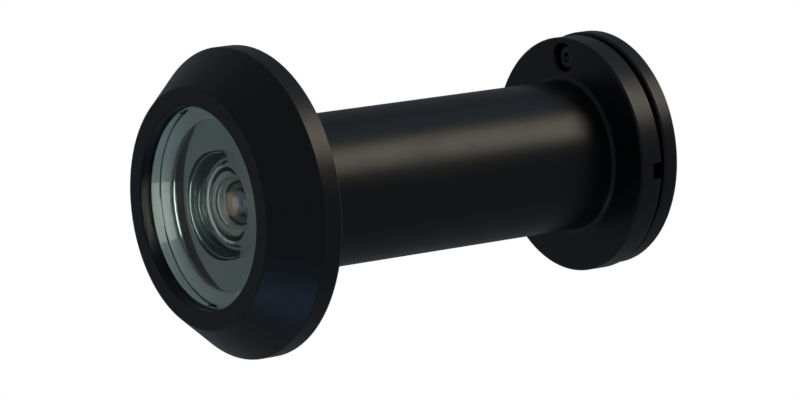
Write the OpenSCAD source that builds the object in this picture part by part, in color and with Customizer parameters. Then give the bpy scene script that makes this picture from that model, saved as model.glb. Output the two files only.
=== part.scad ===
// Door viewer: an outdoor half and an indoor half that screw together through a door.
// The viewer's axis is Y. The objective looks along -Y, the eyepiece along +Y, and Z is up.
// The origin is on the axis, in the plane of the outdoor flange's seat on the door.

/* [Door] */
// Distance between the two flange seats with the halves screwed right together
closed_grip = 35.9; // [30:0.1:50]

/* [Outdoor head] */
// Diameter of the outdoor flange
head_d = 28; // [25:0.1:36]
// Height of the straight edge of the outdoor flange
head_edge_h = 1.93; // [1.5:0.01:3]
// Height of the cone from that edge to the rim
cone_h = 3.92; // [3:0.01:6]
// Outer diameter of the flat rim around the glass
rim_d = 21.7; // [20.9:0.1:24]
// Width of the flat rim
rim_w = 1.7; // [1.2:0.1:2]
// Depth of the recess that takes the end of the sleeve
sleeve_recess_h = 0.6; // [0.4:0.1:0.8]

/* [Sleeve] */
// Outer diameter of the barrel, which passes through the hole in the door
barrel_d = 14; // [11.6:0.1:17]
// Wall of the barrel inside its thread crests
sleeve_wall = 1; // [0.8:0.05:1.3]
// Diameter of the indoor flange and of the cover
flange_d = 22; // [21:0.1:30]
// Thickness of the indoor flange
flange_h = 2.4; // [2:0.1:4]
// Radius of the fillet between barrel and indoor flange
fillet_r = 0.45; // [0.2:0.05:0.8]
// Width of the coin slots
slot_w = 1.5; // [1:0.1:2.5]
// Depth of the coin slots
slot_h = 1; // [0.5:0.1:1.4]

/* [Thread] */
// Pitch of the thread that joins the halves
thread_pitch = 1; // [0.75:0.25:1.25]
// Depth of its grooves
thread_depth = 0.45; // [0.3:0.05:0.5]
// Number of turns cut inside the mouth of the sleeve
nut_turns = 8; // [4:1:8]

/* [Tube and inner lenses] */
// Wall of the threaded tube under its grooves
tube_wall = 0.8; // [0.6:0.05:1]
// Free length between the closed tube's end and the eyepiece ring
tube_end_gap = 2.4; // [1:0.1:5]
// Width of the lip that the second lens rests against
lens_lip_w = 0.45; // [0.3:0.05:0.8]
// Edge thickness of the second lens
second_edge_h = 1.8; // [1.4:0.1:3]
// Length of the spacer between the second and the third lens
spacer_h = 2.3; // [1:0.1:5]
// Edge thickness of the third lens
third_edge_h = 1.8; // [1.4:0.1:3]
// Length of the lock ring behind the third lens
lock_ring_h = 1.8; // [1.2:0.1:3]
// Length of the light baffle in the end of the tube
baffle_h = 1; // [0.6:0.1:2]
// Radius of the hole in the light baffle
baffle_hole_r = 2.9; // [2:0.1:3]

/* [Objective lens] */
// How far the glass lies behind the rim
glass_recess = 1.1; // [0.6:0.1:1.5]
// Thickness of the objective at its edge
objective_h = 3; // [2.8:0.1:3.4]
// Radius of the mouth of the bowl ground into its back
bowl_r = 4.8; // [4:0.1:6.5]
// Depth of that bowl
bowl_h = 2.3; // [1.5:0.1:2.5]
// Thickness of the seal under the objective
seal_h = 0.3; // [0.2:0.05:0.4]
// Width of the seal
seal_w = 1.5; // [0.8:0.1:2]

/* [Eyepiece] */
// Radius of the hole that the eye looks through
eye_hole_r = 4; // [3:0.1:4.1]
// Thickness of the lip in front of the eyepiece lens
eye_lip_h = 1; // [0.6:0.1:1.2]
// Radius of the eyepiece lens
eye_lens_r = 4.7; // [4.3:0.05:4.7]
// Thickness of the eyepiece lens at its edge
eye_edge_h = 1.8; // [1:0.1:3]
// Height of each of its two domes
eye_dome_h = 0.7; // [0.4:0.1:0.8]
// Length of the eyepiece ring's threaded part
eye_ring_h = 2.6; // [1.5:0.1:4]

/* [Cover] */
// Thickness of the cover
cover_h = 1.65; // [1.4:0.05:3]
// Gap between indoor flange and cover, which the spring washer fills
cover_gap = 0.3; // [0.25:0.05:0.6]
// Distance of the cover's pivot from the axis
pivot_r = 9.1; // [8.8:0.1:9.3]
// How far the pivot is turned away from twelve o'clock, to the left seen from outdoors
pivot_turn = 5; // [0:1:15]
// How far the cover's centre hangs above the axis
cover_rise = 0.25; // [0:0.05:0.4]
// Radius of the rivet's shank
rivet_r = 0.75; // [0.5:0.05:0.8]
// Radius of the rivet's head
rivet_head_r = 1.45; // [1.2:0.05:1.6]
// Radius of the counterbore for the rivet's closed tail
tail_bore_r = 1.3; // [1.2:0.05:1.3]
// Depth of that counterbore
tail_bore_h = 1; // [0.7:0.1:1.2]
// Outer radius of the spring washer
washer_r = 1.8; // [1.4:0.1:1.8]
// Thickness of the spring washer's sheet
washer_sheet = 0.15; // [0.1:0.01:0.15]

/* [Clearances] */
// Radial clearance of the thread crests and of the cover on its rivet
run_fit = 0.05; // [0.02:0.01:0.1]
// Radial clearance of a lens or ring in its seat
seat_fit = 0.05; // [0.02:0.01:0.1]
// Gap between faces of pieces that move past each other
face_gap = 0.3; // [0.15:0.05:0.3]
// Gap around the eyepiece lens in its cell
cell_gap = 0.15; // [0.1:0.01:0.2]

/* [Hidden] */

$fn = 96;

black_metal = "#17181b";
bright_metal = "#a9abae";
glass = "#b9d6d2";
rubber = "#1d1d1e";

// Small finishing cuts
edge_cut = 0.2;
lens_bevel = 0.2;
ring_slot_w = 0.8;
ring_slot_h = 0.7;
dimple_r = 0.45;
dimple_h = 0.35;

// How far a cutting solid reaches past the face that it cuts
over = 1;

// The thread: where it starts on the tube, its first groove in the sleeve, and its relief behind
thread_y = 2;
nut_y = 1;
relief_h = 0.15;
relief_y = 0.5;
tube_lead_h = 0.5;

// Curved faces of the inner lenses, and the walls around them
lens_lip_h = 0.75;
ring_wall = 1.1;
dome_gap = 0.1;
second_dome_h = 1.1;
second_hollow_h = 1.5;
third_front_h = 0.4;
third_back_h = 0.7;
lens_land_w = 0.2;

// The eyepiece ring's nose and the land around the eyepiece lens's front dome
eye_nose_h = 0.9;
eye_ring_land_w = 0.7;
eye_dome_land_w = 0.85;
eye_bevel = 0.7;

// How far the coin slots stay away from the eyepiece lens's cell
slot_land_w = 0.6;

// The rivet's ends
tail_h = 0.55;
tail_gap = 0.2;
head_bore_h = 0.75;
head_bore_gap = 0.1;
head_sink = 0.05;
washer_gap = 0.1;

// Radii from the barrel inwards
barrel_r = barrel_d / 2;
nut_crest_r = barrel_r - sleeve_wall;
nut_root_r = nut_crest_r + thread_depth;
relief_r = nut_crest_r + relief_h;
tube_crest_r = nut_crest_r - run_fit;
tube_root_r = tube_crest_r - thread_depth;
tube_bore_r = tube_root_r - tube_wall;
lens_lip_r = tube_bore_r - lens_lip_w;
inner_lens_r = tube_bore_r - seat_fit;
ring_hole_r = inner_lens_r - ring_wall;
hollow_r = ring_hole_r - lens_land_w;

// Stations along the axis in the outdoor half, from the rim inwards
rim_y = -(head_edge_h + cone_h);
pocket_r = rim_d / 2 - rim_w;
objective_y = rim_y + glass_recess;
seal_y = objective_y + objective_h;
pocket_floor_y = seal_y + seal_h;
second_y = pocket_floor_y + lens_lip_h;
spacer_y = second_y + second_edge_h;
third_y = spacer_y + spacer_h;
lock_ring_y = third_y + third_edge_h;

// Stations along the axis in the indoor half
sleeve_y = -sleeve_recess_h + face_gap;
flange_y = closed_grip;
flange_back_y = flange_y + flange_h;
eye_lip_y = flange_back_y - eye_lip_h;
eye_lens_back_y = eye_lip_y - cell_gap;
eye_lens_y = eye_lens_back_y - eye_edge_h;
eye_nose_y = eye_lens_y - cell_gap;
eye_cell_r = eye_lens_r + seat_fit;
eye_shoulder_y = eye_nose_y - eye_nose_h;
eye_ring_y = eye_shoulder_y - eye_ring_h;
cover_y = flange_back_y + cover_gap;
cover_back_y = cover_y + cover_h;

// The end of the tube, and the turns of thread that fit on it
tube_end_y = eye_ring_y - tube_end_gap;
tube_turns = floor((tube_end_y - thread_y - tube_lead_h) / thread_pitch);
nut_end_y = nut_y + nut_turns * thread_pitch;

// The rivet and its seats
pivot_x = -pivot_r * sin(pivot_turn);
pivot_z = pivot_r * cos(pivot_turn);
tail_floor_y = flange_y + tail_bore_h;
tail_y = tail_floor_y - tail_h;
tail_r = tail_bore_r - tail_gap;
head_seat_y = cover_back_y - head_bore_h;
head_bore_r = rivet_head_r + head_bore_gap;
washer_hole_r = rivet_r + washer_gap;

// A solid turned about the viewer's axis from an outline of radius and station
module turned(outline) {
    rotate([-90, 0, 0]) rotate_extrude() polygon(outline);
}

// A cylinder on the viewer's axis, from station y0 to y1
module rod(r, y0, y1) {
    translate([0, y0, 0]) rotate([-90, 0, 0]) cylinder(r = r, h = y1 - y0);
}

// A cylinder on the cover's pivot axis
module pivot_rod(r, y0, y1) {
    translate([pivot_x, 0, pivot_z]) rod(r, y0, y1);
}

// The bar that cuts the two driver slots in a threaded ring, from station y on
module ring_slot(y) {
    translate([-barrel_r, y, -ring_slot_w / 2]) cube([barrel_d, over + ring_slot_h, ring_slot_w]);
}

// Radius of the ball whose cap has this base radius and this height
function ball_r(base, height) = (base * base + height * height) / (2 * height);

// The ball that reaches from the plane at station y by height along +Y, as wide as base there
module ball_past(base, height, y) {
    r = ball_r(base, height);
    translate([0, y + height - r, 0]) rotate([-90, 0, 0]) sphere(r);
}

// The ball that reaches from the plane at station y by height along -Y
module ball_before(base, height, y) {
    r = ball_r(base, height);
    translate([0, y - height + r, 0]) rotate([-90, 0, 0]) sphere(r);
}

// Outline of thread grooves, four points for each turn: the steps are shares of the pitch
function thread_outline(crest, root, y, turns) = [
    for (i = [0 : turns - 1], step = [[crest, 0], [crest, 0.2], [root, 0.55], [root, 0.65]])
        [step[0], y + (i + step[1]) * thread_pitch]
];

// Concave quarter circle from the barrel out to the indoor flange
function fillet_outline(steps) = [
    for (i = [0 : steps])
        [barrel_r + fillet_r * (1 - cos(90 * i / steps)), flange_y - fillet_r * (1 - sin(90 * i / steps))]
];

module outdoor_head() {
    color(black_metal) turned(concat(
        [
            [pocket_r, rim_y], [rim_d / 2, rim_y], [head_d / 2, -head_edge_h],
            [head_d / 2, -edge_cut], [head_d / 2 - edge_cut, 0],
            [barrel_r + face_gap, 0], [barrel_r + face_gap, -sleeve_recess_h],
            [tube_crest_r, -sleeve_recess_h]
        ],
        thread_outline(tube_crest_r, tube_root_r, thread_y, tube_turns),
        [
            [tube_root_r, tube_end_y], [tube_bore_r, tube_end_y], [tube_bore_r, second_y],
            [lens_lip_r, second_y], [lens_lip_r, pocket_floor_y], [pocket_r, pocket_floor_y]
        ]
    ));
}

module objective_lens() {
    r = pocket_r - seat_fit;
    color(glass) difference() {
        turned([
            [0, objective_y], [r - lens_bevel, objective_y], [r, objective_y + lens_bevel],
            [r, seal_y - lens_bevel], [r - lens_bevel, seal_y], [0, seal_y]
        ]);
        ball_before(bowl_r, bowl_h, seal_y);
    }
}

module objective_seal() {
    r = pocket_r - seat_fit;
    color(rubber) difference() {
        rod(r, seal_y, pocket_floor_y);
        rod(r - seal_w, seal_y - over, pocket_floor_y + over);
    }
}

module second_lens() {
    dome_r = lens_lip_r - dome_gap;
    color(glass) difference() {
        union() {
            rod(inner_lens_r, second_y, spacer_y);
            intersection() {
                ball_before(dome_r, second_dome_h, second_y);
                rod(dome_r, second_y - second_dome_h - over, second_y + over);
            }
        }
        ball_before(hollow_r, second_hollow_h, spacer_y);
    }
}

module lens_spacer() {
    color(black_metal) difference() {
        rod(inner_lens_r, spacer_y, third_y);
        rod(ring_hole_r, spacer_y - over, third_y + over);
    }
}

module third_lens() {
    color(glass) difference() {
        rod(inner_lens_r, third_y, lock_ring_y);
        ball_past(hollow_r, third_front_h, third_y);
        ball_before(hollow_r, third_back_h, lock_ring_y);
    }
}

module lens_lock_ring() {
    y1 = lock_ring_y + lock_ring_h;
    color(black_metal) difference() {
        rod(inner_lens_r, lock_ring_y, y1);
        rod(ring_hole_r, lock_ring_y - over, y1 + over);
        ring_slot(y1 - ring_slot_h);
    }
}

module light_baffle() {
    y0 = tube_end_y - 2 * baffle_h;
    bevel = min(0.8 * baffle_h, (inner_lens_r - baffle_hole_r) / 2);
    color(black_metal) turned([
        [baffle_hole_r, y0], [inner_lens_r, y0], [inner_lens_r, y0 + baffle_h],
        [baffle_hole_r + bevel, y0 + baffle_h], [baffle_hole_r, y0 + baffle_h - bevel]
    ]);
}

module barrel_sleeve() {
    flange_r = flange_d / 2;
    slot_end_r = eye_cell_r + slot_land_w;
    color(black_metal) difference() {
        turned(concat(
            [[nut_root_r, sleeve_y], [barrel_r - edge_cut, sleeve_y], [barrel_r, sleeve_y + edge_cut]],
            fillet_outline(8),
            [
                [flange_r - edge_cut, flange_y], [flange_r, flange_y + edge_cut],
                [flange_r, flange_back_y - edge_cut], [flange_r - edge_cut, flange_back_y],
                [eye_hole_r + eye_bevel * eye_lip_h, flange_back_y],
                [eye_hole_r, flange_back_y - eye_bevel * eye_lip_h],
                [eye_hole_r, eye_lip_y], [eye_cell_r, eye_lip_y], [eye_cell_r, eye_shoulder_y],
                [relief_r, eye_shoulder_y], [relief_r, nut_end_y + relief_y]
            ],
            [for (p = thread_outline(nut_crest_r, nut_root_r, -nut_end_y, nut_turns)) [p[0], -p[1]]],
            [[nut_crest_r, nut_y], [nut_crest_r, sleeve_y + nut_root_r - nut_crest_r]]
        ));
        for (turn = [0, 180]) rotate([0, turn, 0])
            translate([slot_end_r, flange_back_y - slot_h, -slot_w / 2])
                cube([flange_r, slot_h + over, slot_w]);
        pivot_rod(rivet_r, flange_y, flange_back_y + over);
        pivot_rod(tail_bore_r, flange_y - over, tail_floor_y);
    }
}

module eyepiece_ring() {
    hole_r = eye_lens_r - eye_ring_land_w;
    color(black_metal) difference() {
        turned([
            [hole_r, eye_ring_y], [relief_r - seat_fit, eye_ring_y],
            [relief_r - seat_fit, eye_shoulder_y], [eye_cell_r - seat_fit, eye_shoulder_y],
            [eye_cell_r - seat_fit, eye_nose_y], [hole_r, eye_nose_y]
        ]);
        ring_slot(eye_ring_y - over);
    }
}

module eyepiece_lens() {
    front_r = eye_lens_r - eye_dome_land_w;
    back_r = eye_hole_r - cell_gap;
    color(glass) union() {
        rod(eye_lens_r, eye_lens_y, eye_lens_back_y);
        intersection() {
            ball_before(front_r, eye_dome_h, eye_lens_y);
            rod(front_r, eye_lens_y - eye_dome_h - over, eye_lens_y + eye_edge_h / 2);
        }
        intersection() {
            ball_past(back_r, eye_dome_h, eye_lens_back_y);
            rod(back_r, eye_lens_back_y - eye_edge_h / 2, eye_lens_back_y + eye_dome_h + over);
        }
    }
}

module privacy_cover() {
    r = flange_d / 2;
    color(black_metal) difference() {
        translate([0, 0, cover_rise]) turned([
            [0, cover_y], [r - edge_cut, cover_y], [r, cover_y + edge_cut],
            [r, cover_back_y - edge_cut], [r - edge_cut, cover_back_y], [0, cover_back_y]
        ]);
        pivot_rod(rivet_r + run_fit, cover_y - over, cover_back_y + over);
        pivot_rod(head_bore_r, head_seat_y, cover_back_y + over);
    }
}

module pivot_rivet() {
    color(bright_metal) difference() {
        union() {
            pivot_rod(rivet_r, tail_y, head_seat_y + 2 * run_fit);
            pivot_rod(tail_r, tail_y, tail_floor_y);
            pivot_rod(rivet_head_r, head_seat_y + run_fit, cover_back_y - head_sink);
        }
        translate([pivot_x, 0, pivot_z]) ball_past(dimple_r, dimple_h, tail_y);
    }
}

module cover_washer() {
    lift = cover_gap - washer_sheet - run_fit;
    color(bright_metal) translate([pivot_x, flange_back_y, pivot_z]) turned([
        [washer_hole_r, 0], [washer_r, lift], [washer_r, lift + washer_sheet], [washer_hole_r, washer_sheet]
    ]);
}

outdoor_head();
objective_lens();
objective_seal();
second_lens();
lens_spacer();
third_lens();
lens_lock_ring();
light_baffle();
barrel_sleeve();
eyepiece_ring();
eyepiece_lens();
privacy_cover();
pivot_rivet();
cover_washer();
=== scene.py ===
# %% [markdown]
# # A door viewer, turned piece by piece
#
# A door viewer is a small telescope that looks the wrong way round. The outdoor half carries a
# wide objective lens in a coned head, and a threaded tube with two more lenses. The indoor half
# is a smooth sleeve with an eyepiece, a flange and a swinging cover. The two halves screw
# together through the door. Nearly every piece is turned on a lathe, so nearly every mesh here
# is an outline spun about the Y axis, which is the axis that one looks along.

import math

import bmesh
import bpy
from mathutils import Matrix, Vector


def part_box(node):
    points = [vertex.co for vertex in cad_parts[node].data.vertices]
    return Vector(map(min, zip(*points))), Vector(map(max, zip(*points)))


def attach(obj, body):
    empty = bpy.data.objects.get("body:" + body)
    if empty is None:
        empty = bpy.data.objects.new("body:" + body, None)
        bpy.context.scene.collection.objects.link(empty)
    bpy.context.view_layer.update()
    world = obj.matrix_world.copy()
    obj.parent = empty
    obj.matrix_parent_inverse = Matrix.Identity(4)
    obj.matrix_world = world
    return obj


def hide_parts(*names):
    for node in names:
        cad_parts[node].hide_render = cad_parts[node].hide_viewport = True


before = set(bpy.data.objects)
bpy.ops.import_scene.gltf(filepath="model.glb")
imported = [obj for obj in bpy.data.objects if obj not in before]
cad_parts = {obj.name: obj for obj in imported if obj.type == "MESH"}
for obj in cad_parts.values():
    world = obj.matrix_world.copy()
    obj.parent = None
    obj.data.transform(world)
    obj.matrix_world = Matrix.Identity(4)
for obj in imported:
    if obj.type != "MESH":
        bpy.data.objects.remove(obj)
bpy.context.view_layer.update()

# %% [markdown]
# ## Sizes
#
# The script works in millimetres and turns them to metres when a mesh is made. The imported model
# is made of plain turned nodes, and each of its circles lies at one height y. Reading the radii
# of those circles gives many steps of an outline, so those sizes don't have to be typed in twice.

# %% Reading sizes from the imported model
MM = 0.001


def ends(node):
    """The lowest and highest y of a node, in mm."""
    low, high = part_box(node)
    return low.y / MM, high.y / MM


def radii(node, y, centre=(0.0, 0.0)):
    """The radii, in mm, of a node's circles about centre (x, z) at height y, smallest first."""
    found = set()
    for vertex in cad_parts[node].data.vertices:
        if abs(vertex.co.y / MM - y) < 0.004:
            found.add(round(math.hypot(vertex.co.x / MM - centre[0], vertex.co.z / MM - centre[1]), 2))
    return sorted(found)


head_front, tube_end = ends("outdoor_head")
sleeve_end, flange_back = ends("barrel_sleeve")
print("head and tube from y", round(head_front, 2), "to", round(tube_end, 2))
print("sleeve and flange from y", round(sleeve_end, 2), "to", round(flange_back, 2))

# %% [markdown]
# ## The lathe
#
# An outline is a list of corners (radius, height, rounding, finish). Real turned edges are never
# knife sharp: the tool or a deburring stone leaves a small radius, and that radius is what
# catches the light. So each corner can be rounded with an arc, and a holding point on each side
# of the arc keeps the shading of the flat faces flat. The arcs also mark themselves in an
# attribute called rubbed, which the finishes read to polish the edges that hands touch.

# %% Outlines with rounded corners
ARC_STEPS = 5


def rounded(corners):
    """Turns corners (r, y, rounding, finish) of a closed outline into points (r, y, rubbed, finish)."""
    points = []
    for i, (r, y, rounding, finish) in enumerate(corners):
        here = Vector((r, y))
        before = Vector(corners[i - 1][:2])
        after = Vector(corners[(i + 1) % len(corners)][:2])
        if rounding == 0:
            points.append((r, y, 0.0, finish))
            continue
        back, forth = (before - here).normalized(), (after - here).normalized()
        half = back.angle(forth) / 2
        reach = rounding / math.tan(half)
        centre = here + (back + forth).normalized() * (rounding / math.sin(half))
        start, end = here + back * reach - centre, here + forth * reach - centre
        turn = math.atan2(start.cross(end), start.dot(end))
        points.append((*(here + back * reach * 1.5), 0.0, corners[i - 1][3]))
        for step in range(ARC_STEPS + 1):
            angle = turn * step / ARC_STEPS
            spoke = Vector((start.x * math.cos(angle) - start.y * math.sin(angle),
                            start.x * math.sin(angle) + start.y * math.cos(angle)))
            points.append((*(centre + spoke), 1.0, finish))
        points.append((*(here + forth * reach * 1.5), 0.0, finish))
    return points


def ball(edge_r, edge_y, apex_y, steps=40):
    """Points from a circle to the axis along a ball that passes through both."""
    rise = apex_y - edge_y
    ball_r = (edge_r ** 2 + rise ** 2) / (2 * abs(rise))
    centre_y = apex_y - math.copysign(ball_r, rise)
    widest = math.asin(edge_r / ball_r)
    if abs(rise) > ball_r:
        widest = math.pi - widest
    return [
        (ball_r * math.sin(widest * (1 - i / steps)),
         centre_y + math.copysign(ball_r * math.cos(widest * (1 - i / steps)), rise), 0.0, 0)
        for i in range(steps + 1)
    ]


# %% [markdown]
# The lathe itself makes one ring of vertices for each point of the outline, and a single vertex
# where the outline meets the axis. A ridge function may lift a point by its height and its angle,
# which is how a screw thread climbs round a tube.

# %% The lathe
def smooth(mesh, sharpest=math.radians(32)):
    """Shades a mesh smooth, except across edges sharper than an angle."""
    mesh.polygons.foreach_set("use_smooth", [True] * len(mesh.polygons))
    mesh.set_sharp_from_angle(angle=sharpest)
    mesh.update()


def turned(name, outline, body, nodes, closed=True, centre=(0.0, 0.0), steps=192, ridge=None):
    """Spins an outline of (r, y, rubbed, finish) about a line parallel to Y and returns the piece."""
    shape = bmesh.new()
    rubbed = shape.verts.layers.float.new("rubbed")
    rings = []
    for r, y, edge, finish in outline:
        count = 1 if abs(r) < 1e-6 else steps
        ring = []
        for i in range(count):
            angle = math.tau * i / steps
            reach = r + (ridge(y, angle) if ridge else 0.0)
            vertex = shape.verts.new(((centre[0] + reach * math.cos(angle)) * MM, y * MM,
                                      (centre[1] + reach * math.sin(angle)) * MM))
            vertex[rubbed] = edge
            ring.append(vertex)
        rings.append(ring)
    pairs = list(zip(range(len(rings) - 1), range(1, len(rings))))
    if closed:
        pairs.append((len(rings) - 1, 0))
    for a, b in pairs:
        low, high = rings[a], rings[b]
        for i in range(steps):
            j = (i + 1) % steps
            if len(low) == 1 and len(high) == 1:
                continue
            if len(low) == 1:
                corners = (low[0], high[j], high[i])
            elif len(high) == 1:
                corners = (low[i], low[j], high[0])
            else:
                corners = (low[i], low[j], high[j], high[i])
            shape.faces.new(corners).material_index = outline[a][3]
    bmesh.ops.recalc_face_normals(shape, faces=shape.faces)
    mesh = bpy.data.meshes.new(name)
    shape.to_mesh(mesh)
    shape.free()
    smooth(mesh)
    piece = bpy.data.objects.new(name, mesh)
    bpy.context.scene.collection.objects.link(piece)
    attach(piece, body)
    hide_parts(*nodes)
    print(name, "turned:", len(mesh.polygons), "faces")
    return piece


# %% [markdown]
# Holes and slots that aren't on the axis are cut afterwards, as on a milling machine. Each cutter
# has a wider mouth, so the cut gets the small chamfer that a burr-free edge has.

# %% The milling cutters
def cut(piece, *cutters):
    """Takes the cutters out of a piece for good and removes them."""
    for cutter in cutters:
        step = piece.modifiers.new("cut", "BOOLEAN")
        step.operation, step.solver, step.object = "DIFFERENCE", "EXACT", cutter
    cut_mesh = bpy.data.meshes.new_from_object(
        piece.evaluated_get(bpy.context.evaluated_depsgraph_get()))
    piece.modifiers.clear()
    cut_mesh.name = piece.name
    piece.data = cut_mesh
    for cutter in cutters:
        bpy.data.objects.remove(cutter)
    smooth(piece.data)
    print(piece.name, "cut:", len(piece.data.polygons), "faces")


def drill(outline, centre):
    """A cutter turned from corners (r, y), which start and end on its own axis."""
    shape = bmesh.new()
    steps = 64
    rings = []
    for r, y in outline:
        count = 1 if r == 0 else steps
        rings.append([shape.verts.new(((centre[0] + r * math.cos(math.tau * i / steps)) * MM, y * MM,
                                       (centre[1] + r * math.sin(math.tau * i / steps)) * MM))
                      for i in range(count)])
    for low, high in zip(rings, rings[1:]):
        for i in range(steps):
            j = (i + 1) % steps
            ring = [low[i % len(low)], low[j % len(low)], high[j % len(high)], high[i % len(high)]]
            shape.faces.new(list(dict.fromkeys(ring)))
    bmesh.ops.recalc_face_normals(shape, faces=shape.faces)
    mesh = bpy.data.meshes.new("drill")
    shape.to_mesh(mesh)
    shape.free()
    cutter = bpy.data.objects.new("drill", mesh)
    bpy.context.scene.collection.objects.link(cutter)
    return cutter


def slot_mill(x0, x1, width, floor_y, face_y, chamfer):
    """A straight cutter along X with a chamfered mouth at face_y and a flat floor at floor_y."""
    side = 1 if face_y > floor_y else -1
    section = [(-width / 2, floor_y), (-width / 2, face_y - side * chamfer),
               (-width / 2 - chamfer * 2, face_y + side * chamfer),
               (width / 2 + chamfer * 2, face_y + side * chamfer),
               (width / 2, face_y - side * chamfer), (width / 2, floor_y)]
    shape = bmesh.new()
    caps = [[shape.verts.new((x * MM, y * MM, z * MM)) for z, y in section] for x in (x0, x1)]
    for i in range(len(section)):
        j = (i + 1) % len(section)
        shape.faces.new((caps[0][i], caps[0][j], caps[1][j], caps[1][i]))
    shape.faces.new(caps[0])
    shape.faces.new(list(reversed(caps[1])))
    bmesh.ops.recalc_face_normals(shape, faces=shape.faces)
    mesh = bpy.data.meshes.new("slot_mill")
    shape.to_mesh(mesh)
    shape.free()
    cutter = bpy.data.objects.new("slot_mill", mesh)
    bpy.context.scene.collection.objects.link(cutter)
    return cutter


# %% [markdown]
# ## The outdoor head and its tube
#
# The head is one brass turning: a narrow flat rim, a cone that runs out to a wide edge, a flat
# back that lies on the door, and the tube with its outside thread. Inside the rim is the pocket
# for the objective lens. The pocket's floor is left bright, its wall behind the glass is blasted,
# and the bore behind the inner lenses is lacquered white. The rest is blackened. The thread is
# real geometry: the outline has a dozen points for each pitch, and the ridge function lifts them
# into a V that climbs one pitch a turn.

# %% Sizes of the head
pocket_r, rim_r = radii("outdoor_head", head_front)[0], radii("outdoor_head", head_front)[-1]
head_edge_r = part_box("outdoor_head")[1].x / MM
objective_front, objective_back = ends("objective_lens")
seal_back = ends("objective_seal")[1]
lens_lip_r = radii("outdoor_head", seal_back)[0]
tube_bore_r = radii("outdoor_head", tube_end)[0]
crest_r, root_r = 5.95, 5.50
cone_base_y = -1.93
recess_r, recess_y = 7.3, -0.6
lock_back = ends("lens_lock_ring")[1]
lip_y = -0.70
glass_edge_cover = 0.1
thread_start, thread_turns, thread_pitch = 2.0, 26, 1.0
rows_per_pitch = 12
print("rim", rim_r, "pocket", pocket_r, "edge", round(head_edge_r, 2), "bore", tube_bore_r)

# %% The tube's thread
OUTSIDE, BRIGHT, INSIDE, SEAT, BORE = 0, 1, 2, 3, 4
thread_crest_flat = 1.25


def tube_thread(y, angle):
    """Height of the outside thread over its root, in mm."""
    along = (y - thread_start) / thread_pitch
    if not 0 < along < thread_turns:
        return 0.0
    wave = 1 - abs(2 * ((along - angle / math.tau) % 1.0) - 1)
    fade = min(1.0, along, thread_turns - along)
    return (crest_r - root_r) * min(1.0, thread_crest_flat * wave) * fade


# %% The head's outline
thread_rows = [
    (root_r, thread_start + thread_pitch * i / rows_per_pitch, 0.0, INSIDE)
    for i in range(thread_turns * rows_per_pitch + 1)
]
head_outline = rounded([
    (pocket_r, seal_back, 0.0, SEAT),
    (pocket_r, objective_front + glass_edge_cover, 0.0, OUTSIDE),
    (pocket_r, head_front, 0.12, OUTSIDE),
    (rim_r, head_front, 0.22, OUTSIDE),
    (head_edge_r, cone_base_y, 0.30, OUTSIDE),
    (head_edge_r, 0.0, 0.20, OUTSIDE),
    (recess_r, 0.0, 0.08, OUTSIDE),
    (recess_r, recess_y, 0.0, INSIDE),
    (root_r, recess_y, 0.0, INSIDE),
] + thread_rows + [
    (root_r, tube_end, 0.15, INSIDE),
    (tube_bore_r, tube_end, 0.15, INSIDE),
    (tube_bore_r, lock_back, 0.0, BORE),
    (tube_bore_r, lip_y, 0.0, BORE),
    (lens_lip_r, lip_y, 0.05, BORE),
    (lens_lip_r, seal_back, 0.05, BRIGHT),
])
outdoor_head = turned("outdoor_head_turned", head_outline, "outdoor_half",
                      ["outdoor_head"], ridge=tube_thread)

# %% [markdown]
# ## The lenses
#
# The objective is a thick glass disc with a slight crown in front and a deep bowl ground into its
# back, which spreads the view to the sides. Behind it sit a domed lens and a lens with two
# hollows, and the eyepiece is domed on both faces. Light bends at each surface by its slope, so
# the curves are true balls with many rings. A coarse curve would show as facets in the
# refraction long before it showed in the outline.

# %% The objective lens
bowl_r, foot_r = radii("objective_lens", objective_back)[0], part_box("objective_lens")[1].x / MM
bowl_depth = 2.3
front_crown = 0.4
objective_lens = turned("objective_lens_ground", list(reversed(
    ball(foot_r - 0.15, objective_front, objective_front - front_crown, 40))) + rounded([
    (foot_r - 0.10, objective_front + 0.02, 0.0, 0),
    (foot_r, objective_front + 0.15, 0.0, 0),
    (foot_r, objective_back, 0.20, 0),
    (bowl_r + 0.05, objective_back, 0.0, 0),
]) + ball(bowl_r, objective_back, objective_back - bowl_depth, 56),
    "outdoor_half", ["objective_lens"], closed=False, steps=256)

# %% The second lens
second_front, second_back = ends("second_lens")
second_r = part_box("second_lens")[1].x / MM
dome_r, second_hollow_r, second_hollow = 4.15, 3.35, 1.5
second_lens = turned("second_lens_ground", list(reversed(ball(dome_r, lip_y, second_front))) + rounded([
    (dome_r + 0.02, lip_y, 0.0, 0),
    (second_r, lip_y, 0.08, 0),
    (second_r, second_back, 0.08, 0),
    (second_hollow_r + 0.02, second_back, 0.0, 0),
]) + ball(second_hollow_r, second_back, second_back - second_hollow),
    "outdoor_half", ["second_lens"], closed=False, steps=192)

# %% The third lens
third_front, third_back = ends("third_lens")
third_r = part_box("third_lens")[1].x / MM
third_front_hollow, third_back_hollow = 0.4, 0.7
third_lens = turned(
    "third_lens_ground",
    list(reversed(ball(second_hollow_r, third_front, third_front + third_front_hollow))) + rounded([
        (second_hollow_r + 0.02, third_front, 0.0, 0),
        (third_r, third_front, 0.08, 0),
        (third_r, third_back, 0.08, 0),
        (second_hollow_r + 0.02, third_back, 0.0, 0),
    ]) + ball(second_hollow_r, third_back, third_back - third_back_hollow),
    "outdoor_half", ["third_lens"], closed=False, steps=192)

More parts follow.
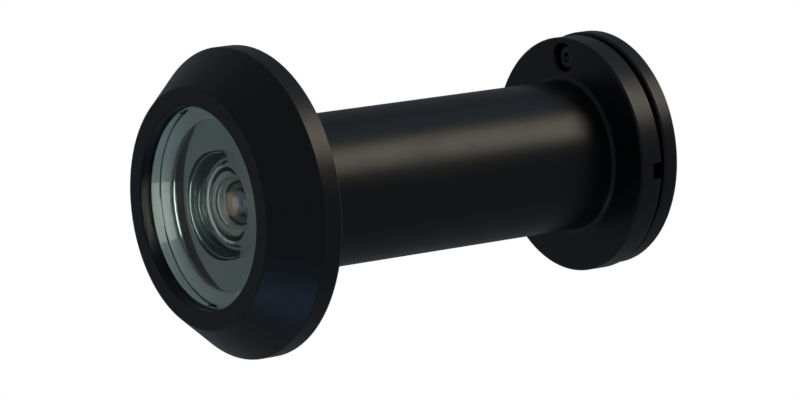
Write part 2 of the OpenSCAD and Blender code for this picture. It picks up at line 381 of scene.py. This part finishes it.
# %% The eyepiece lens
eye_front, eye_back = ends("eyepiece_lens")
eye_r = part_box("eyepiece_lens")[1].x / MM
eye_dome_r, eye_dome = 3.85, 0.7
eyepiece_lens = turned(
    "eyepiece_lens_ground",
    list(reversed(ball(eye_dome_r, eye_front + eye_dome, eye_front))) + rounded([
        (eye_dome_r + 0.02, eye_front + eye_dome, 0.0, 0),
        (eye_r, eye_front + eye_dome, 0.10, 0),
        (eye_r, eye_back - eye_dome, 0.10, 0),
        (eye_dome_r + 0.02, eye_back - eye_dome, 0.0, 0),
    ]) + ball(eye_dome_r, eye_back - eye_dome, eye_back),
    "eyepiece_glass", ["eyepiece_lens"], closed=False, steps=192)

# %% [markdown]
# ## The small inner rings
#
# A soft ring cushions the objective on its floor, a spacer and a slotted lock ring hold the two
# inner lenses, and a baffle near the end of the tube stops stray light. The soft ring is spun
# again with rounded edges, a hair thinner than its place, so that its faces never lie in the
# faces of the glass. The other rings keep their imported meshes, because they sit deep in the tube.

# %% The soft ring
squeeze = 0.01
seal_inner_r = radii("objective_seal", seal_back)[0]
seal_outer_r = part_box("objective_seal")[1].x / MM
objective_seal = turned("objective_seal_moulded", rounded([
    (seal_inner_r, objective_back + squeeze, 0.08, 0),
    (seal_outer_r, objective_back + squeeze, 0.08, 0),
    (seal_outer_r, seal_back - squeeze, 0.08, 0),
    (seal_inner_r, seal_back - squeeze, 0.08, 0),
]), "outdoor_half", ["objective_seal"])

# %% [markdown]
# ## The indoor sleeve and its flange
#
# The sleeve is a plain smooth barrel with a flange at its back end. A nut thread near its front
# end grips the tube. Its rear face has the eye hole, a slot on each side for a coin to turn it
# by, and a small hole with a flat floor for the rivet of the cover.

# %% Sizes of the sleeve
flange_front = 35.9
barrel_r = radii("barrel_sleeve", flange_front - 0.45)[-1]
flange_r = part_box("barrel_sleeve")[1].x / MM
nut_root_r, nut_crest_r, nut_start, nut_end, relief_r = 6.45, 6.0, 1.0, 9.0, 6.15
eye_cell_r, eye_hole_r, eye_bevel_r = 4.75, 4.0, 4.7
cell_front, cell_back = ends("eyepiece_ring")[1] - 0.9, 37.3
pivot_x, pivot_z = -0.793, 9.065
pivot_r, counterbore_r, counterbore_y = 0.75, 1.3, 36.9
slot_width, slot_depth, slot_inner_r, slot_chamfer = 1.5, 1.0, 5.35, 0.08


# %% The thread in the sleeve
def nut_thread(y, angle):
    """Height of the inside thread over its root, which reaches towards the axis, in mm."""
    along = (y - nut_start) / thread_pitch
    turns = (nut_end - nut_start) / thread_pitch
    if not 0 < along < turns:
        return 0.0
    wave = 1 - abs(2 * ((along - angle / math.tau + 0.5) % 1.0) - 1)
    return -(nut_root_r - nut_crest_r) * min(1.0, thread_crest_flat * wave) * min(1.0, along, turns - along)


# %% The sleeve's outline
nut_rows = [
    (nut_root_r, nut_end - thread_pitch * i / rows_per_pitch, 0.0, INSIDE)
    for i in range(int((nut_end - nut_start) / thread_pitch) * rows_per_pitch + 1)
]
sleeve_outline = rounded([
    (barrel_r, sleeve_end, 0.12, OUTSIDE),
    (barrel_r, flange_front, 0.45, OUTSIDE),
    (flange_r, flange_front, 0.25, OUTSIDE),
    (flange_r, flange_back, 0.22, OUTSIDE),
    (eye_bevel_r, flange_back, 0.06, OUTSIDE),
    (eye_hole_r, flange_back - (eye_bevel_r - eye_hole_r), 0.0, OUTSIDE),
    (eye_hole_r, cell_back, 0.0, INSIDE),
    (eye_cell_r, cell_back, 0.0, INSIDE),
    (eye_cell_r, cell_front, 0.0, INSIDE),
    (relief_r, cell_front, 0.0, INSIDE),
    (relief_r, nut_end + 0.5, 0.0, INSIDE),
] + nut_rows + [
    (nut_root_r, sleeve_end, 0.10, INSIDE),
])
barrel_sleeve = turned(
    "barrel_sleeve_turned", sleeve_outline, "indoor_half", ["barrel_sleeve"],
    ridge=lambda y, angle: nut_thread(y, angle) if nut_start < y < nut_end else 0.0)

# %% The slots and the rivet's hole
pivot = (pivot_x, pivot_z)
cut(barrel_sleeve,
    slot_mill(slot_inner_r, flange_r + 1, slot_width, flange_back - slot_depth, flange_back,
              slot_chamfer),
    slot_mill(-flange_r - 1, -slot_inner_r, slot_width, flange_back - slot_depth, flange_back,
              slot_chamfer),
    drill([(0, flange_front - 1), (counterbore_r + 0.35, flange_front - 1),
           (counterbore_r + 0.35, flange_front - 0.2), (counterbore_r, flange_front + 0.15),
           (counterbore_r, counterbore_y), (pivot_r, counterbore_y),
           (pivot_r, flange_back + 1), (0, flange_back + 1)], pivot))

# %% [markdown]
# ## The privacy cover, its washer and the rivet
#
# The cover is a flat disc that swings on a rivet, so that nobody can look in from outside. A
# dished spring washer gives it friction, and the rivet's tail is headed over in the small hole
# in front of the flange, where a punch leaves a dimple.

# %% The cover
cover_front, cover_back = ends("privacy_cover")
cover_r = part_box("privacy_cover")[1].x / MM
cover_rise = (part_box("privacy_cover")[1].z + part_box("privacy_cover")[0].z) / 2 / MM
rivet_hole_r, rivet_head_seat_r, rivet_seat_y = 0.8, 1.55, 39.5
privacy_cover = turned("privacy_cover_turned", rounded([
    (0.0, cover_front, 0.0, OUTSIDE),
    (cover_r, cover_front, 0.25, OUTSIDE),
    (cover_r, cover_back, 0.30, OUTSIDE),
    (0.0, cover_back, 0.0, OUTSIDE),
]), "cover", ["privacy_cover"], closed=False, centre=(0.0, cover_rise))
cut(privacy_cover,
    drill([(0, cover_front - 1), (rivet_hole_r, cover_front - 1), (rivet_hole_r, rivet_seat_y),
           (rivet_head_seat_r, rivet_seat_y), (rivet_head_seat_r, cover_back - 0.12),
           (rivet_head_seat_r + 0.30, cover_back + 0.18), (0, cover_back + 0.18)], pivot))

# %% The rivet
rivet_front, rivet_back = ends("pivot_rivet")
tail_r, head_r, shank_r, head_seat_y = 1.1, 1.45, 0.75, 39.55
dimple_r, dimple_depth = 0.45, 0.35
pivot_rivet = turned("pivot_rivet_headed", [
    (r, y, 0.0, 0) for r, y, _, _ in reversed(ball(dimple_r, rivet_front, rivet_front + dimple_depth, 12))
] + rounded([
    (dimple_r + 0.02, rivet_front, 0.0, 0),
    (tail_r, rivet_front, 0.18, 0),
    (tail_r, counterbore_y, 0.05, 0),
    (shank_r, counterbore_y, 0.0, 0),
    (shank_r, head_seat_y, 0.0, 0),
    (head_r, head_seat_y, 0.05, 0),
    (head_r, rivet_back - 0.25, 0.0, 0),
]) + ball(head_r, rivet_back - 0.25, rivet_back, 16),
    "indoor_half", ["pivot_rivet"], closed=False, centre=pivot, steps=96)

# %% [markdown]
# ## Finishes
#
# Each finish starts from the real material and from how its surface was made. Colours are
# written as sRGB hex values, the way a paint chart gives them, and one function turns them into
# the linear light that the shaders work in. One more function adds a node, sets it and links it.

# %% Colour and node helpers
def linear(colour):
    """An sRGB hex colour such as "#336699" as linear RGBA."""
    channels = [int(colour[i:i + 2], 16) / 255 for i in (1, 3, 5)]
    return (*[c / 12.92 if c <= 0.04045 else ((c + 0.055) / 1.055) ** 2.4 for c in channels], 1.0)


def add(tree, kind, settings=None, **inputs):
    """Adds a node, sets its settings, and gives each input a value or another node's output."""
    node = tree.nodes.new(kind)
    for name, value in (settings or {}).items():
        setattr(node, name, value)
    for name, value in inputs.items():
        socket = node.inputs[int(name[1:])] if name[1:].isdigit() else node.inputs[name.replace("_", " ")]
        if isinstance(value, bpy.types.NodeSocket):
            tree.links.new(value, socket)
        else:
            socket.default_value = value
    return node


def empty_material(name):
    """A new material, its node tree with nothing but the output, and that output."""
    material = bpy.data.materials.new(name)
    material.use_nodes = True
    material.node_tree.nodes.clear()
    return material, material.node_tree, add(material.node_tree, "ShaderNodeOutputMaterial")


def scale_of(millimetres):
    """The noise scale that makes a feature of a real size, on coordinates in metres."""
    return 1 / (millimetres * MM)


# %% [markdown]
# ### Satin black lacquer on brass
#
# The visible brass is bead-blasted, then coated with a thin black lacquer and baked. The blast
# leaves grains of about 0.05 mm, which scatter the light into a wide soft sheen. They are too
# fine to show here, so they are drawn at 0.16 mm. The lacquer pools a little, so its gloss drifts
# over a few millimetres, and handling polishes the rounded edges.

# %% Satin black lacquer
def lacquer(name, dark, light, roughness, bump):
    material, tree, out = empty_material(name)
    place = add(tree, "ShaderNodeTexCoord").outputs["Object"]
    grain = add(tree, "ShaderNodeTexNoise", Vector=place, Scale=scale_of(0.16), Detail=2.0, Roughness=0.6)
    pool = add(tree, "ShaderNodeTexNoise", Vector=place, Scale=scale_of(5.0), Detail=3.0, Roughness=0.55)
    rubbed = add(tree, "ShaderNodeAttribute", {"attribute_name": "rubbed"})
    drift = add(tree, "ShaderNodeMapRange", Value=pool.outputs["Fac"], From_Min=0.3, From_Max=0.7,
                To_Min=roughness - 0.03, To_Max=roughness + 0.04)
    worn = add(tree, "ShaderNodeMath", {"operation": "MULTIPLY_ADD"},
               _0=rubbed.outputs["Fac"], _1=-0.06, _2=drift.outputs["Result"])
    shade = add(tree, "ShaderNodeMix", {"data_type": "RGBA"}, _0=grain.outputs["Fac"],
                _6=linear(dark), _7=linear(light))
    relief = add(tree, "ShaderNodeBump", Strength=bump, Distance=0.00002, Height=grain.outputs["Fac"])
    skin = add(tree, "ShaderNodeBsdfPrincipled", Base_Color=shade.outputs[2], IOR=1.50,
               Roughness=worn.outputs[0], Normal=relief.outputs["Normal"])
    tree.links.new(skin.outputs[0], out.inputs["Surface"])
    return material


satin_black_lacquer = lacquer("satin_black_lacquer", "#08090A", "#0E0F11", 0.35, 0.35)
matt_black_oxide = lacquer("matt_black_oxide", "#08090A", "#101112", 0.62, 0.5)

# %% [markdown]
# ### Turned metals
#
# The floor under the objective is turned and nickel plated before the rest is coated, and is
# masked off. Nickel is a slightly warm, fairly bright metal, and here it mirrors the glass above
# it. The tool leaves rings 0.05 mm apart, drawn here at 0.12 mm, which blur a reflection a little
# along the radius. The pocket's wall behind the glass is blasted before plating, so it gives a
# flat grey band instead of a mirror. The rivet is blackened steel, a dark metal with a soft
# glint, and the washer is stainless steel, pale and even.

# %% Turned metals
def turned_metal(name, colour, roughness, mark_mm, depth):
    material, tree, out = empty_material(name)
    place = add(tree, "ShaderNodeTexCoord").outputs["Object"]
    parts = add(tree, "ShaderNodeSeparateXYZ", Vector=place)
    flat = add(tree, "ShaderNodeCombineXYZ", X=parts.outputs["X"], Z=parts.outputs["Z"])
    radius = add(tree, "ShaderNodeVectorMath", {"operation": "LENGTH"}, Vector=flat.outputs[0])
    lathe_place = add(tree, "ShaderNodeCombineXYZ", X=radius.outputs["Value"], Y=parts.outputs["Y"])
    marks = add(tree, "ShaderNodeTexNoise", Vector=lathe_place.outputs[0], Scale=scale_of(mark_mm),
                Detail=1.0)
    tarnish = add(tree, "ShaderNodeTexNoise", Vector=place, Scale=scale_of(3.0), Detail=3.0)
    haze = add(tree, "ShaderNodeMapRange", Value=tarnish.outputs["Fac"], From_Min=0.3, From_Max=0.7,
               To_Min=roughness * 0.85, To_Max=roughness * 1.15)
    relief = add(tree, "ShaderNodeBump", Strength=depth, Distance=0.00001, Height=marks.outputs["Fac"])
    skin = add(tree, "ShaderNodeBsdfPrincipled", Base_Color=linear(colour), Metallic=1.0,
               Roughness=haze.outputs["Result"], Normal=relief.outputs["Normal"])
    tree.links.new(skin.outputs[0], out.inputs["Surface"])
    return material


bright_nickel = turned_metal("bright_nickel", "#C9C5BE", 0.07, 0.12, 0.10)
blasted_nickel = turned_metal("blasted_nickel", "#5E6164", 0.50, 0.20, 0.30)
blackened_steel = turned_metal("blackened_steel", "#4A4B4C", 0.32, 0.10, 0.30)
stainless_steel = turned_metal("stainless_steel", "#C3C4C6", 0.28, 0.10, 0.30)

# %% [markdown]
# ### Crown glass
#
# The lenses are pressed crown glass, ground and polished, with an index of 1.52. Cheap crown
# glass holds a trace of iron, which swallows red first, so long paths inside the glass turn
# green-blue. A film of magnesium fluoride a quarter of a wavelength thick dims the reflections
# and leaves them faintly violet. The thick objective is tinted more than the small lenses.

# %% Crown glass
def crown_glass(name, depth_colour, per_metre):
    material, tree, out = empty_material(name)
    skin = add(tree, "ShaderNodeBsdfPrincipled", Base_Color=linear("#FFFFFF"), Roughness=0.0, IOR=1.52,
               Transmission_Weight=1.0, Thin_Film_Thickness=105.0, Thin_Film_IOR=1.38)
    body = add(tree, "ShaderNodeVolumeAbsorption", Color=linear(depth_colour), Density=per_metre)
    tree.links.new(skin.outputs[0], out.inputs["Surface"])
    tree.links.new(body.outputs[0], out.inputs["Volume"])
    return material


green_crown_glass = crown_glass("green_crown_glass", "#C8EAE2", 110.0)
clear_crown_glass = crown_glass("clear_crown_glass", "#D8F2EA", 60.0)

# %% [markdown]
# ### Silicone, nylon and white lacquer
#
# The soft ring is moulded from grey silicone. Moulded rubber is never glossy: its skin copies the
# fine spark-eroded grain of the mould. The spacer and the lock ring are natural nylon, a milky
# white plastic, and the bore around the inner lenses is lacquered white. Seen through the lenses
# these three pale surfaces give the rings of light around the pupil. Grain of about 0.05 mm is
# drawn at 0.3 mm, or it wouldn't show.

# %% Silicone, nylon and white lacquer
def matt_coat(name, dark, light):
    material, tree, out = empty_material(name)
    place = add(tree, "ShaderNodeTexCoord").outputs["Object"]
    grain = add(tree, "ShaderNodeTexNoise", Vector=place, Scale=scale_of(0.3), Detail=2.0)
    shade = add(tree, "ShaderNodeMix", {"data_type": "RGBA"}, _0=grain.outputs["Fac"],
                _6=linear(dark), _7=linear(light))
    relief = add(tree, "ShaderNodeBump", Strength=0.3, Distance=0.00002, Height=grain.outputs["Fac"])
    skin = add(tree, "ShaderNodeBsdfPrincipled", Base_Color=shade.outputs[2], Roughness=0.55, IOR=1.41,
               Normal=relief.outputs["Normal"])
    tree.links.new(skin.outputs[0], out.inputs["Surface"])
    return material


grey_silicone = matt_coat("grey_silicone", "#6E7173", "#787B7D")
natural_nylon = matt_coat("natural_nylon", "#E6E4DC", "#EFEDE6")
white_lacquer = matt_coat("white_lacquer", "#E8ECEA", "#F2F5F4")

# %% [markdown]
# ### Which piece wears what
#
# A turned piece has one finish for each kind of surface that its outline names: the outside, the
# bright floor, the inside, the seat and the bore. The spacer and the lock ring are pale, and the
# baffle and the eyepiece's ring get the matt black oxide, which keeps stray light out of the view.

# %% Giving out the finishes
finishes = {
    outdoor_head: (satin_black_lacquer, bright_nickel, matt_black_oxide, blasted_nickel,
                   white_lacquer),
    barrel_sleeve: (satin_black_lacquer, matt_black_oxide, matt_black_oxide),
    privacy_cover: (satin_black_lacquer,),
    pivot_rivet: (blackened_steel,),
    objective_seal: (grey_silicone,),
    objective_lens: (green_crown_glass,),
    second_lens: (clear_crown_glass,),
    third_lens: (clear_crown_glass,),
    eyepiece_lens: (clear_crown_glass,),
    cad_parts["lens_spacer"]: (natural_nylon,),
    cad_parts["lens_lock_ring"]: (natural_nylon,),
    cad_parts["light_baffle"]: (matt_black_oxide,),
    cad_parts["eyepiece_ring"]: (matt_black_oxide,),
    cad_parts["cover_washer"]: (stainless_steel,),
}
for piece, wears in finishes.items():
    indices = [face.material_index for face in piece.data.polygons]
    piece.data.materials.clear()
    for material in wears:
        piece.data.materials.append(material)
    piece.data.polygons.foreach_set("material_index", [min(i, len(wears) - 1) for i in indices])
    print(piece.name, "wears", ", ".join(material.name for material in wears))

# %% [markdown]
# ## Studio
#
# Black parts show what they reflect and little else, so the light is arranged by where each
# surface looks. The part hangs over a light table, a white sheet that glows evenly and leaves no
# shadow. Only the camera sees the table and the white surroundings. The part itself sees a
# dim room, one large soft box overhead and behind, and weaker panels at the sides.

# %% The light table and the room
def glowing(name, colour, strength):
    """A finish that gives off even light."""
    material, tree, out = empty_material(name)
    light = add(tree, "ShaderNodeEmission", Color=linear(colour), Strength=strength)
    tree.links.new(light.outputs[0], out.inputs["Surface"])
    return material


table_half, table_drop = 4.0, 0.15
table = bpy.data.objects.new("light_table", bpy.data.meshes.new("light_table"))
table.data.from_pydata([(x * table_half, y * table_half, -table_drop)
                        for x, y in ((-1, -1), (1, -1), (1, 1), (-1, 1))], [], [(0, 1, 2, 3)])
table.data.materials.append(glowing("lit_acrylic", "#FFFFFF", 1.0))
table.visible_diffuse = table.visible_glossy = table.visible_transmission = table.visible_shadow = False
bpy.context.scene.collection.objects.link(table)

room = bpy.data.worlds.new("room")
room.use_nodes = True
room.node_tree.nodes.clear()
seen = add(room.node_tree, "ShaderNodeLightPath").outputs["Is Camera Ray"]
dim = add(room.node_tree, "ShaderNodeBackground", Color=linear("#63686F"), Strength=1.0)
white = add(room.node_tree, "ShaderNodeBackground", Color=linear("#FFFFFF"), Strength=1.0)
room_mix = add(room.node_tree, "ShaderNodeMixShader", _0=seen, _1=dim.outputs[0], _2=white.outputs[0])
add(room.node_tree, "ShaderNodeOutputWorld", Surface=room_mix.outputs[0])
bpy.context.scene.world = room

# %% [markdown]
# A soft box is placed by the direction in which the part sees it and by how bright it looks from
# there. A lamp's power is that brightness times its area times pi. Four boxes light everything:
# a large warm key from above and behind, cool panels from the top and from low in front, and one
# for the indoor face. A fifth lights the three front lenses alone, through Blender's light
# linking. A box bright enough to show the glass would turn the black head grey, and in a real
# studio the head would be shaded from it with black card.

# %% The soft boxes
middle = Vector((0.0, 17.0, 0.0)) * MM


def soft_box(name, direction, distance, width, height, brightness, colour="#FFFFFF"):
    """A rectangular lamp that faces the part from a direction, in metres."""
    data = bpy.data.lights.new(name, "AREA")
    data.shape, data.size, data.size_y = "RECTANGLE", width, height
    data.color = linear(colour)[:3]
    data.energy = brightness * math.pi * width * height
    lamp = bpy.data.objects.new(name, data)
    towards = Vector(direction).normalized()
    lamp.matrix_world = Matrix.LocRotScale(
        middle + towards * distance, towards.to_track_quat("Z", "Y"), None)
    lamp.visible_camera = False
    bpy.context.scene.collection.objects.link(lamp)
    print(name, "power", round(data.energy, 2), "W")
    return lamp


soft_box("key_box", (0.466, 0.581, 0.667), 0.60, 0.28, 0.28, 3.2, "#FFF4DC")
soft_box("top_panel", (-0.10, 0.62, 0.78), 0.60, 0.28, 0.28, 0.2, "#A8D0FF")
soft_box("indoor_panel", (-0.20, 0.97, 0.10), 0.60, 0.40, 0.40, 1.0)
soft_box("low_front_fill", (0.31, -0.44, -0.84), 0.60, 0.28, 0.28, 0.6, "#88C0FF")

# %% The lenses' own soft box
lens_panel = soft_box("lens_panel", (0.60, -0.78, 0.15), 0.30, 0.30, 0.30, 3.6)
lenses = bpy.data.collections.new("lenses")
for glass in (objective_lens, second_lens, third_lens):
    lenses.objects.link(glass)
lens_panel.light_linking.receiver_collection = lenses

# %% [markdown]
# ## Camera
#
# A long lens from about 40 cm keeps the two discs nearly the same size, as a catalogue view does.
# It looks from the front right and a little from above.

# %% Camera
azimuth, elevation = math.radians(53.6), math.radians(11.86)
camera_distance, aside, above = 396.3, 13.22, 0.10
backward = Vector((math.sin(azimuth) * math.cos(elevation),
                   -math.cos(azimuth) * math.cos(elevation), math.sin(elevation)))
rightward = Vector((math.cos(azimuth), math.sin(azimuth), 0.0))
aim = (rightward * aside + backward.cross(rightward) * above) * MM
camera = bpy.data.objects.new("camera", bpy.data.cameras.new("camera"))
camera.data.lens, camera.data.sensor_width = 200.34, 36.0
camera.data.clip_start, camera.data.clip_end = 0.01, 20.0
camera.matrix_world = Matrix.LocRotScale(
    aim + backward * camera_distance * MM, backward.to_track_quat("Z", "Y"), None)
bpy.context.scene.collection.objects.link(camera)
bpy.context.scene.camera = camera
print("camera at mm", [round(c / MM, 1) for c in camera.location])

# %% [markdown]
# Light crosses up to eight glass surfaces on its way through the lenses, so paths are allowed
# more bounces than usual.

# %% Light paths and colour
scene = bpy.context.scene
scene.view_settings.view_transform = "Standard"
scene.cycles.use_denoising = True
scene.cycles.max_bounces = 20
scene.cycles.transmission_bounces = 20
scene.cycles.glossy_bounces = 8
scene.cycles.diffuse_bounces = 3
scene.cycles.blur_glossy = 0.3
